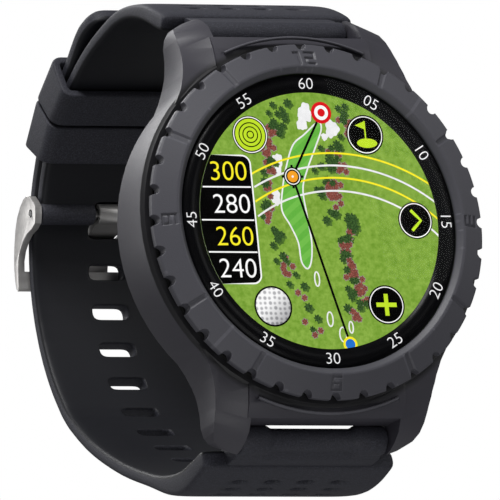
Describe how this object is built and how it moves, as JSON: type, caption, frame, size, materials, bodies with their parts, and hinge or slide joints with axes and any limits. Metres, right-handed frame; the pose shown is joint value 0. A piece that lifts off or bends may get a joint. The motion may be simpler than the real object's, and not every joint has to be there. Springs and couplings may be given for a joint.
{
  "type": "golf gps watch",
  "caption": "Round golf GPS wristwatch with a turning notched bezel, touch display, two side buttons and a buckled rubber strap with keepers.",
  "frame": {"origin": "centre of the sensor window's outer face, on the back of the case", "axes": "+X towards 3 o'clock, +Z towards 12 o'clock, +Y out of the back of the case into the wrist; the dial faces -Y"},
  "size_m": [0.05, 0.0715, 0.0724],
  "materials": {
    "case_polymer": "fine matt texture",
    "bezel_polymer": "satin, engraved",
    "strap_rubber": "matt grained outside, smooth inside",
    "seal_rubber": "smooth",
    "bright_steel": "brushed and edge polished",
    "dark_steel": "satin",
    "contact_gold": "gold plated",
    "clear_glass": "polished, oil repellent coat",
    "sensor_glass": "polished, smoked",
    "black_print": "printed black with white numerals",
    "display": "colour display",
    "inner_plastic": "moulded",
    "circuit_board": "solder mask",
    "ceramic": "fired ceramic",
    "battery_foil": "foil pouch"
  },
  "bodies": {
    "case": {"upper_lug_bar_tube": "bright_steel", "upper_lug_bar_tip_right": "dark_steel", "upper_lug_bar_tip_left": "dark_steel", "lower_lug_bar_tube": "bright_steel", "lower_lug_bar_tip_right": "dark_steel", "lower_lug_bar_tip_left": "dark_steel", "button_upper_switch": "inner_plastic", "button_lower_switch": "inner_plastic", "mid_case": "case_polymer", "bezel_friction_ring": "seal_rubber", "touch_lens": "clear_glass", "minute_ring": "black_print", "display_panel": "display", "display_frame": "inner_plastic", "main_board": "circuit_board", "gps_antenna": "ceramic", "processor_shield": "bright_steel", "vibration_motor": "bright_steel", "battery": "battery_foil", "pulse_sensor_board": "circuit_board", "pulse_sensor_lamp_1": "ceramic", "pulse_sensor_lamp_2": "ceramic", "back_cover": "case_polymer", "back_seal": "seal_rubber", "sensor_window": "sensor_glass", "charge_contact_1": "contact_gold", "charge_contact_2": "contact_gold", "charge_contact_3": "contact_gold", "charge_contact_4": "contact_gold", "back_screw_1": "dark_steel", "back_screw_2": "dark_steel", "back_screw_3": "dark_steel", "back_screw_4": "dark_steel", "button_upper_spring": "bright_steel", "button_lower_spring": "bright_steel"},
    "strap_upper": {"upper_strap": "strap_rubber", "fixed_keeper": "strap_rubber", "buckle_bar_tube": "bright_steel", "buckle_bar_tip_left": "dark_steel", "buckle_bar_tip_right": "dark_steel"},
    "strap_lower": {"lower_strap": "strap_rubber"},
    "keeper": {"free_keeper": "strap_rubber"},
    "buckle": {"buckle_frame": "bright_steel"},
    "tongue": {"buckle_tongue": "bright_steel"},
    "turning_bezel": {"bezel": "bezel_polymer"},
    "upper_button": {"button_upper": "dark_steel", "button_upper_clip": "bright_steel", "button_upper_seal": "seal_rubber"},
    "lower_button": {"button_lower": "dark_steel", "button_lower_clip": "bright_steel", "button_lower_seal": "seal_rubber"}
  },
  "joints": [
    {"name": "bezel_turn", "type": "hinge", "parent": "case", "child": "turning_bezel", "pos_m": [0, -0.014, 0], "axis": [0, 1, 0], "continuous": true},
    {"name": "upper_button_press", "type": "slide", "parent": "case", "child": "upper_button", "axis": [-0.866, 0, -0.5], "range_m": [0, 0.0006], "stiffness_N_per_m": 1500, "deforming": ["button_upper_spring"]},
    {"name": "lower_button_press", "type": "slide", "parent": "case", "child": "lower_button", "axis": [-0.866, 0, 0.5], "range_m": [0, 0.0006], "stiffness_N_per_m": 1500, "deforming": ["button_lower_spring"]},
    {"name": "upper_strap_swing", "type": "hinge", "parent": "case", "child": "strap_upper", "pos_m": [0, -0.0049, 0.0279], "axis": [1, 0, 0], "range_deg": [0, 70], "deforming": ["lower_strap"]},
    {"name": "lower_strap_swing", "type": "hinge", "parent": "case", "child": "strap_lower", "pos_m": [0, -0.0049, -0.0279], "axis": [-1, 0, 0], "range_deg": [0, 70], "deforming": ["lower_strap"]},
    {"name": "free_keeper_slide", "type": "hinge", "parent": "strap_upper", "child": "keeper", "pos_m": [0, 0.022, 0.006], "axis": [1, 0, 0], "range_deg": [0, 2.5], "deforming": ["lower_strap"]},
    {"name": "buckle_frame_swing", "type": "hinge", "parent": "strap_upper", "child": "buckle", "pos_m": [0, 0.04798, 0.01618], "axis": [1, 0, 0], "range_deg": [0, 25], "deforming": ["lower_strap"]},
    {"name": "buckle_tongue_lift", "type": "hinge", "parent": "buckle", "child": "tongue", "pos_m": [0, 0.04798, 0.01618], "axis": [1, 0, 0], "range_deg": [0, 40], "deforming": ["lower_strap"]}
  ]
}
